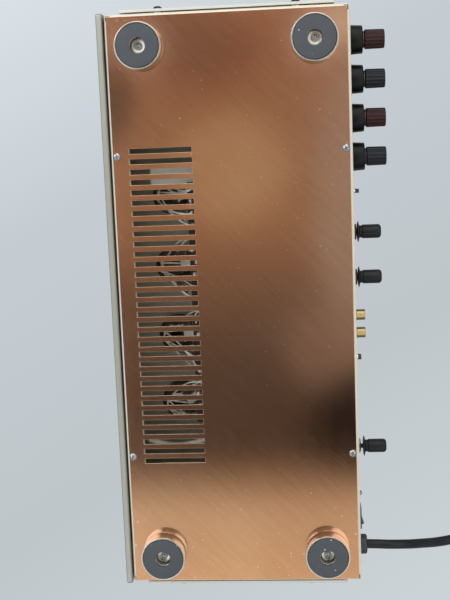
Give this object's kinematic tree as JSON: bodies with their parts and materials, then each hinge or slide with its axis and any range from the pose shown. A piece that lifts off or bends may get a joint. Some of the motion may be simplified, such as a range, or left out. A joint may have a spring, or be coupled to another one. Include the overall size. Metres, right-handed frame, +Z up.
{
  "type": "tube amplifier",
  "caption": "Stereo tube amplifier: folded chassis on turned feet, row of power tubes in front, transformers behind, loudspeaker posts, level knobs and inputs on the rear wall.",
  "frame": {"origin": "on the surface that the feet stand on, under the middle of the amplifier without its cord", "axes": "+X to the right as seen from the front, +Y to the rear wall with the terminals, +Z up"},
  "size_m": [0.4422, 0.3843, 0.1746],
  "materials": {
    "chassis_paint": "satin cream enamel on folded sheet",
    "copper_sheet": "brushed copper-coloured sheet, clear coated",
    "panel_aluminium": "satin anodised plate with bright edges",
    "side_paint": "white enamel",
    "turned_aluminium": "fine turned, bright",
    "pad_rubber": "matt moulded rubber",
    "plated_steel": "bright zinc or nickel plate",
    "tube_glass": "clear blown glass over a dark base",
    "bakelite": "moulded phenolic with tinned lugs",
    "laminate": "glass-fibre board",
    "cover_enamel": "smooth black enamel",
    "collar_black": "moulded insulator",
    "post_maroon": "moulded, dark maroon",
    "post_black": "moulded, black",
    "gilt_brass": "gilt",
    "gold_plate": "gold plated",
    "knob_plastic": "moulded, black",
    "switch_plastic": "moulded, dark green-grey",
    "rocker_plastic": "moulded, dark green-grey",
    "gland_nylon": "moulded nylon",
    "cord_vinyl": "smooth vinyl jacket",
    "plug_vinyl": "moulded vinyl with plated blades"
  },
  "bodies": {
    "amplifier": {"chassis": "chassis_paint", "bottom_plate": "copper_sheet", "front_panel": "panel_aluminium", "foot_front_left": "turned_aluminium", "foot_pad_front_left": "pad_rubber", "foot_screw_front_left": "plated_steel", "plate_screw_front_left": "plated_steel", "foot_front_right": "turned_aluminium", "foot_pad_front_right": "pad_rubber", "foot_screw_front_right": "plated_steel", "plate_screw_front_right": "plated_steel", "foot_rear_left": "turned_aluminium", "foot_pad_rear_left": "pad_rubber", "foot_screw_rear_left": "plated_steel", "plate_screw_rear_left": "plated_steel", "foot_rear_right": "turned_aluminium", "foot_pad_rear_right": "pad_rubber", "foot_screw_rear_right": "plated_steel", "plate_screw_rear_right": "plated_steel", "side_plate_left": "side_paint", "side_plate_right": "side_paint", "power_tube_1": "tube_glass", "tube_socket_1": "bakelite", "post_base_1": "collar_black", "power_tube_2": "tube_glass", "tube_socket_2": "bakelite", "post_base_2": "collar_black", "power_tube_3": "tube_glass", "tube_socket_3": "bakelite", "post_base_3": "collar_black", "power_tube_4": "tube_glass", "tube_socket_4": "bakelite", "post_base_4": "collar_black", "driver_tube_left": "tube_glass", "driver_tube_right": "tube_glass", "driver_board": "laminate", "power_transformer": "cover_enamel", "output_transformer_left": "cover_enamel", "output_transformer_right": "cover_enamel", "level_control_left": "plated_steel", "level_control_right": "plated_steel", "selector_switch": "plated_steel", "input_jacks": "gold_plate", "switch_housing": "switch_plastic", "cord_gland": "gland_nylon", "mains_cord": "cord_vinyl", "cord_coil": "cord_vinyl", "mains_plug": "plug_vinyl"},
    "post_washer_1": {"post_washer_1": "gilt_brass"},
    "post_cap_1": {"post_cap_1": "post_maroon"},
    "post_washer_2": {"post_washer_2": "gilt_brass"},
    "post_cap_2": {"post_cap_2": "post_black"},
    "post_washer_3": {"post_washer_3": "gilt_brass"},
    "post_cap_3": {"post_cap_3": "post_maroon"},
    "post_washer_4": {"post_washer_4": "gilt_brass"},
    "post_cap_4": {"post_cap_4": "post_black"},
    "level_knob_left": {"level_knob_left": "knob_plastic"},
    "level_knob_right": {"level_knob_right": "knob_plastic"},
    "selector_knob": {"selector_knob": "knob_plastic"},
    "switch_rocker": {"switch_rocker": "rocker_plastic"}
  },
  "joints": [
    {"name": "post_1_travel", "type": "slide", "parent": "amplifier", "child": "post_washer_1", "axis": [0, 1, 0], "range_m": [0, 0.004]},
    {"name": "post_1_turn", "type": "hinge", "parent": "post_washer_1", "child": "post_cap_1", "pos_m": [0.1947, 0.0906, 0.0442], "axis": [0, 1, 0], "range_deg": [0, 1800]},
    {"name": "post_2_travel", "type": "slide", "parent": "amplifier", "child": "post_washer_2", "axis": [0, 1, 0], "range_m": [0, 0.004]},
    {"name": "post_2_turn", "type": "hinge", "parent": "post_washer_2", "child": "post_cap_2", "pos_m": [0.1659, 0.0906, 0.0442], "axis": [0, 1, 0], "range_deg": [0, 1800]},
    {"name": "post_3_travel", "type": "slide", "parent": "amplifier", "child": "post_washer_3", "axis": [0, 1, 0], "range_m": [0, 0.004]},
    {"name": "post_3_turn", "type": "hinge", "parent": "post_washer_3", "child": "post_cap_3", "pos_m": [0.1371, 0.0906, 0.0442], "axis": [0, 1, 0], "range_deg": [0, 1800]},
    {"name": "post_4_travel", "type": "slide", "parent": "amplifier", "child": "post_washer_4", "axis": [0, 1, 0], "range_m": [0, 0.004]},
    {"name": "post_4_turn", "type": "hinge", "parent": "post_washer_4", "child": "post_cap_4", "pos_m": [0.1083, 0.0906, 0.0442], "axis": [0, 1, 0], "range_deg": [0, 1800]},
    {"name": "level_knob_left_turn", "type": "hinge", "parent": "amplifier", "child": "level_knob_left", "pos_m": [0.0162, 0.0792, 0.0442], "axis": [0, 1, 0], "range_deg": [-150, 150]},
    {"name": "level_knob_right_turn", "type": "hinge", "parent": "amplifier", "child": "level_knob_right", "pos_m": [0.0512, 0.0792, 0.0442], "axis": [0, 1, 0], "range_deg": [-150, 150]},
    {"name": "selector_knob_turn", "type": "hinge", "parent": "amplifier", "child": "selector_knob", "pos_m": [-0.1188, 0.0792, 0.0442], "axis": [0, 1, 0], "range_deg": [-30, 30]},
    {"name": "mains_switch_rock", "type": "hinge", "parent": "amplifier", "child": "switch_rocker", "pos_m": [-0.1766, 0.0788, 0.0442], "axis": [0, 0, 1], "range_deg": [0, 18]}
  ],
  "couplings": [
    {"joint": "post_1_travel", "follows": "post_1_turn", "m_per_rad": 0.00012732},
    {"joint": "post_2_travel", "follows": "post_2_turn", "m_per_rad": 0.00012732},
    {"joint": "post_3_travel", "follows": "post_3_turn", "m_per_rad": 0.00012732},
    {"joint": "post_4_travel", "follows": "post_4_turn", "m_per_rad": 0.00012732}
  ]
}
